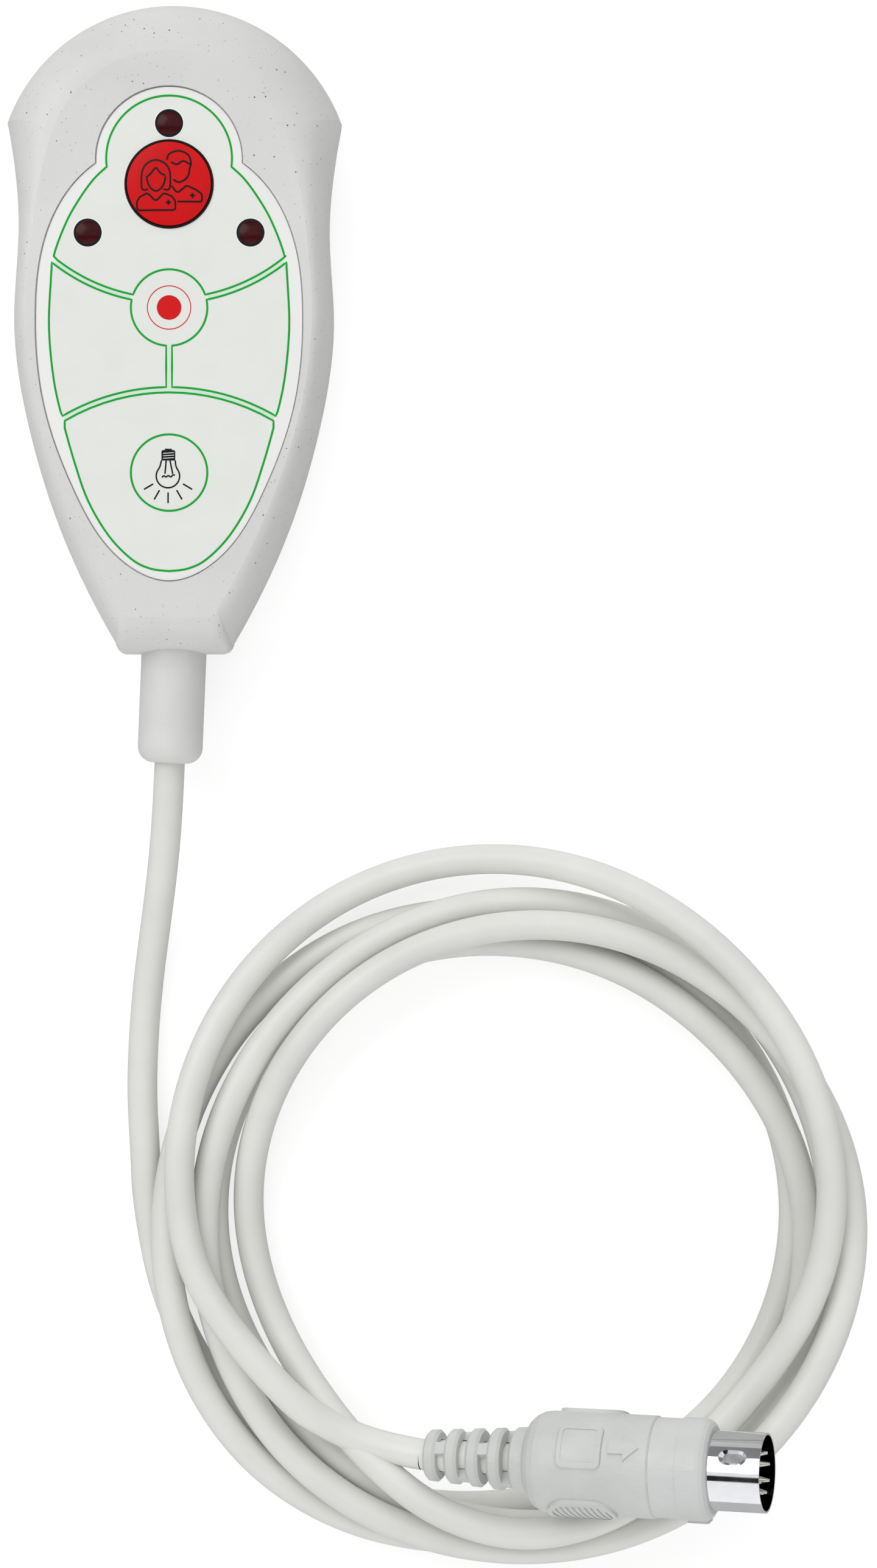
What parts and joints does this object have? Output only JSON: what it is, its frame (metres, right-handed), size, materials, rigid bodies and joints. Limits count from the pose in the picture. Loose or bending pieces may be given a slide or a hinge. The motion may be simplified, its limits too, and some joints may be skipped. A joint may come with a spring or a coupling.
{
  "type": "pendant pear switch",
  "caption": "Hand-held nurse-call switch with a film keypad, red call button, indicator lamps, soft sleeve, coiled cable and round multi-pin plug.",
  "frame": {"origin": "on the floor under the middle of the handset, which lies on its back", "axes": "+Y from the cable end to the rounded head, +X to the right of the keypad, +Z out of the keypad"},
  "size_m": [0.1492, 0.2715, 0.0416],
  "materials": {
    "housing": "light grey moulded plastic with fine dark specks",
    "foil": "white printed film, satin",
    "seal_rubber": "black, smooth",
    "screw_steel": "bright zinc",
    "button_red": "smooth gloss",
    "switch_case": "moulded",
    "plunger": "moulded",
    "key_plastic": "moulded",
    "lens": "dark red tinted, polished",
    "led": "clear red",
    "board": "green solder mask",
    "connector": "moulded",
    "wire": "coloured insulation",
    "sleeve": "soft, satin",
    "cable": "soft jacket, satin",
    "plug_soft": "soft moulded, fine texture",
    "plug_hard": "moulded, fine texture",
    "plug_metal": "nickel plated, bright",
    "insulator": "moulded",
    "contact": "nickel plated"
  },
  "bodies": {
    "root": {"front_shell": "housing", "rear_shell": "housing", "housing_seal": "seal_rubber", "housing_screws": "screw_steel", "keypad_overlay": "foil", "call_button_seal": "seal_rubber", "call_switch": "switch_case", "left_switch": "switch_case", "right_switch": "switch_case", "light_switch": "switch_case", "indicator_lens_top": "lens", "indicator_lens_left": "lens", "indicator_lens_right": "lens", "indicator_led_top": "led", "indicator_led_left": "led", "indicator_led_right": "led", "circuit_board": "board", "board_screws": "screw_steel", "cable_connector": "connector", "cable_wires": "wire", "cable_clamp": "key_plastic", "clamp_screws": "screw_steel", "cable_sleeve": "sleeve", "cable_entry": "cable", "cord_lead": "cable", "cord_coil": "cable", "cord_tail": "cable", "plug_body": "plug_soft", "plug_cable": "cable", "plug_collar": "plug_hard", "plug_shell": "plug_metal", "plug_insulator": "insulator", "contact_pins": "contact"},
    "call_button_body": {"call_button": "button_red", "call_plunger": "plunger"},
    "left_key_body": {"left_key": "key_plastic", "left_plunger": "plunger"},
    "right_key_body": {"right_key": "key_plastic", "right_plunger": "plunger"},
    "light_key_body": {"light_key": "key_plastic", "light_plunger": "plunger"}
  },
  "joints": [
    {"name": "call_press", "type": "slide", "parent": "root", "child": "call_button_body", "axis": [0, 0, -1], "range_m": [0, 0.0008], "stiffness_N_per_m": 1500, "springref_m": -0.0005},
    {"name": "left_press", "type": "slide", "parent": "root", "child": "left_key_body", "axis": [0, 0, -1], "range_m": [0, 0.0005], "stiffness_N_per_m": 3000, "springref_m": -0.0003},
    {"name": "right_press", "type": "slide", "parent": "root", "child": "right_key_body", "axis": [0, 0, -1], "range_m": [0, 0.0005], "stiffness_N_per_m": 3000, "springref_m": -0.0003},
    {"name": "light_press", "type": "slide", "parent": "root", "child": "light_key_body", "axis": [0, 0, -1], "range_m": [0, 0.0005], "stiffness_N_per_m": 3000, "springref_m": -0.0003}
  ]
}
